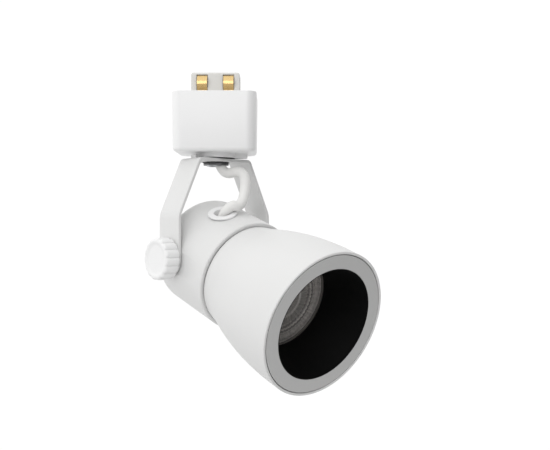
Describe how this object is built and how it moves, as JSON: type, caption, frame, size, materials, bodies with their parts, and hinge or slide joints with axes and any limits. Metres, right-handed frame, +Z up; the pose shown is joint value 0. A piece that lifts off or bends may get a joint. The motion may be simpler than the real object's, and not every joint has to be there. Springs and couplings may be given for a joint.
{
  "type": "track spotlight",
  "caption": "Track spotlight: plug-in adapter, swivelling bent yoke with thumb knob, tilting bell-shaped head with black baffle, reflector lamp and short white supply cable.",
  "frame": {"origin": "centre of the adapter's top face, on the swivel axis, where the adapter meets the underside of the track", "axes": "+X along the track, +Z up out of the adapter into the track, -Y towards the viewer"},
  "size_m": [0.1105, 0.1083, 0.1505],
  "materials": {
    "white_plastic": "satin",
    "insulator": "matte",
    "contact_brass": "satin",
    "screw_steel": "satin",
    "zinc_steel": "satin",
    "dark_steel": "satin",
    "tab_plastic": "satin",
    "lead_insulation": "matte",
    "white_powder_coat": "satin",
    "fibre_washer": "matte",
    "white_sleeve": "matte",
    "white_rubber": "matte",
    "ceramic": "matte",
    "knob_plastic": "satin",
    "lamp_alloy": "satin",
    "lamp_bezel_plastic": "satin",
    "lamp_lens_plastic": "gloss",
    "led_board": "matte",
    "grey_ring_paint": "satin",
    "black_baffle": "matte"
  },
  "bodies": {
    "adapter": {"adapter_housing": "white_plastic", "adapter_cover": "white_plastic", "contact_tower": "insulator", "live_contact": "contact_brass", "neutral_contact": "contact_brass", "ground_contact": "contact_brass", "cover_screws": "screw_steel", "swivel_nipple": "zinc_steel", "nipple_nut": "zinc_steel", "swivel_nut": "dark_steel", "lock_washer": "dark_steel", "lock_spring": "screw_steel", "adapter_leads": "lead_insulation"},
    "release": {"lock_tab": "tab_plastic"},
    "yoke": {"yoke_bracket": "white_powder_coat", "swivel_washer": "fibre_washer", "supply_cable": "white_sleeve"},
    "head": {"rear_housing": "white_powder_coat", "bell_shade": "white_powder_coat", "bell_screws": "screw_steel", "grommet": "white_rubber", "lamp_holder": "ceramic", "holder_bracket": "zinc_steel", "bracket_screws": "screw_steel", "pivot_screw": "zinc_steel", "pivot_insert": "contact_brass", "lamp_leads": "lead_insulation"},
    "knob": {"knob_grip": "knob_plastic", "knob_stud": "zinc_steel"},
    "lamp": {"lamp_body": "lamp_alloy", "lamp_bezel": "lamp_bezel_plastic", "lamp_lens": "lamp_lens_plastic", "led_board": "led_board", "lamp_pins": "zinc_steel"},
    "trim": {"trim_ring": "grey_ring_paint", "baffle": "black_baffle"}
  },
  "joints": [
    {"name": "release_slide", "type": "slide", "parent": "adapter", "child": "release", "axis": [0, 0, -1], "range_m": [0, 0.003], "stiffness_N_per_m": 400, "springref_m": -0.002, "deforming": ["lock_spring"]},
    {"name": "swivel", "type": "hinge", "parent": "adapter", "child": "yoke", "pos_m": [0, 0, -0.033], "axis": [0, 0, 1], "range_deg": [-196, 114]},
    {"name": "tilt", "type": "hinge", "parent": "yoke", "child": "head", "pos_m": [0, 0, -0.0807], "axis": [0.7513, 0.66, 0], "range_deg": [-44, 70], "deforming": ["supply_cable"]},
    {"name": "knob_turn", "type": "hinge", "parent": "head", "child": "knob", "pos_m": [0, 0, -0.0807], "axis": [-0.7513, -0.66, 0], "range_deg": [0, 540]},
    {"name": "lamp_twist", "type": "hinge", "parent": "head", "child": "lamp", "pos_m": [0, 0, -0.0807], "axis": [0.6233, -0.7095, -0.3289], "range_deg": [0, 28]},
    {"name": "trim_pull", "type": "slide", "parent": "head", "child": "trim", "axis": [0.6233, -0.7095, -0.3289], "range_m": [0, 0.03]}
  ]
}
